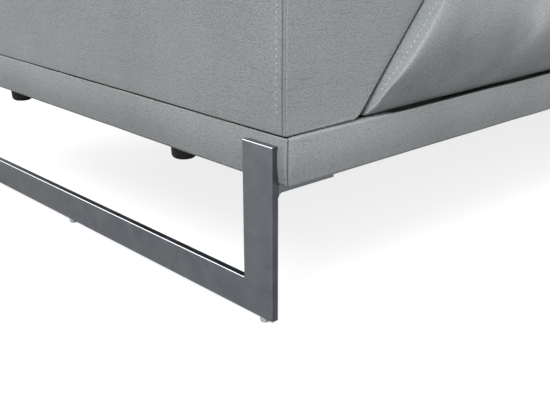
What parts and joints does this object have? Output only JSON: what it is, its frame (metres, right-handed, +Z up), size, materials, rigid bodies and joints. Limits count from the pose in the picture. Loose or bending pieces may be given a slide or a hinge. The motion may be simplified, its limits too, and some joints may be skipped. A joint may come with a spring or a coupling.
{
  "type": "corner sofa",
  "caption": "Leather corner sofa on flat steel sled legs: a run of seats with one arm, a chaise at right angles, padded backs and headrests that fold up.",
  "frame": {"origin": "middle of the sofa's outline in plan, on the floor", "axes": "+X along the run to the right as seen from its front, +Y from the front of the run to its back, +Z up; the arm is at -X and the chaise reaches along -Y at +X"},
  "size_m": [2.71, 2.137, 0.788],
  "materials": {
    "leather": "fine grain, semi matt",
    "satin_steel": "satin",
    "zinc_steel": "zinc plated",
    "clear_plastic": "frosted",
    "black_plastic": "moulded",
    "felt": "felt",
    "timber": "sawn softwood",
    "plywood": "raw plywood",
    "webbing": "woven elastic",
    "dust_cloth": "spunbond cloth"
  },
  "bodies": {
    "sofa": {"end_sled": "satin_steel", "end_sled_brackets": "satin_steel", "end_sled_glides": "clear_plastic", "end_sled_screws": "zinc_steel", "foot_sled": "satin_steel", "foot_sled_brackets": "satin_steel", "foot_sled_glides": "clear_plastic", "foot_sled_screws": "zinc_steel", "stub_feet": "black_plastic", "support_legs": "black_plastic", "support_leg_pads": "felt", "module_connectors": "zinc_steel", "main_base_frame": "timber", "main_base_cover": "leather", "main_dust_cover": "dust_cloth", "chaise_base_frame": "timber", "chaise_base_cover": "leather", "chaise_dust_cover": "dust_cloth", "arm_frame": "timber", "arm_cover": "leather", "arm_bolts": "zinc_steel", "main_spring_frames": "timber", "chaise_spring_frames": "timber", "main_seat_webbing": "webbing", "chaise_seat_webbing": "webbing", "left_seat": "leather", "middle_seat": "leather", "corner_seat": "leather", "chaise_seat": "leather", "chaise_end_seat": "leather", "main_back_frame": "plywood", "main_back_shell": "leather", "chaise_back_frame": "plywood", "chaise_back_shell": "leather", "side_back_frame": "plywood", "side_back_shell": "leather", "back_webbing": "webbing", "left_back_cushion": "leather", "middle_back_cushion": "leather", "corner_back_cushion": "leather", "side_back_cushion": "leather", "side_end_back_cushion": "leather", "corner_top_pad": "leather", "main_headrest_brackets": "zinc_steel", "chaise_headrest_brackets": "zinc_steel"},
    "left_headrest": {"left_headrest_pad": "leather", "left_headrest_arms": "zinc_steel"},
    "middle_headrest": {"middle_headrest_pad": "leather", "middle_headrest_arms": "zinc_steel"},
    "corner_headrest": {"corner_headrest_pad": "leather", "corner_headrest_arms": "zinc_steel"},
    "side_headrest": {"side_headrest_pad": "leather", "side_headrest_arms": "zinc_steel"},
    "side_end_headrest": {"side_end_headrest_pad": "leather", "side_end_headrest_arms": "zinc_steel"}
  },
  "joints": [
    {"name": "left_headrest_tilt", "type": "hinge", "parent": "sofa", "child": "left_headrest", "pos_m": [-0.7545, 0.7935, 0.74], "axis": [1, 0, 0], "range_deg": [0, 80]},
    {"name": "middle_headrest_tilt", "type": "hinge", "parent": "sofa", "child": "middle_headrest", "pos_m": [-0.7545, 0.7935, 0.74], "axis": [1, 0, 0], "range_deg": [0, 80]},
    {"name": "corner_headrest_tilt", "type": "hinge", "parent": "sofa", "child": "corner_headrest", "pos_m": [-0.7545, 0.7935, 0.74], "axis": [1, 0, 0], "range_deg": [0, 80]},
    {"name": "side_headrest_tilt", "type": "hinge", "parent": "sofa", "child": "side_headrest", "pos_m": [1.0525, -0.1915, 0.74], "axis": [0, -1, 0], "range_deg": [0, 80]},
    {"name": "side_end_headrest_tilt", "type": "hinge", "parent": "sofa", "child": "side_end_headrest", "pos_m": [1.0525, -0.1915, 0.74], "axis": [0, -1, 0], "range_deg": [0, 80]}
  ]
}
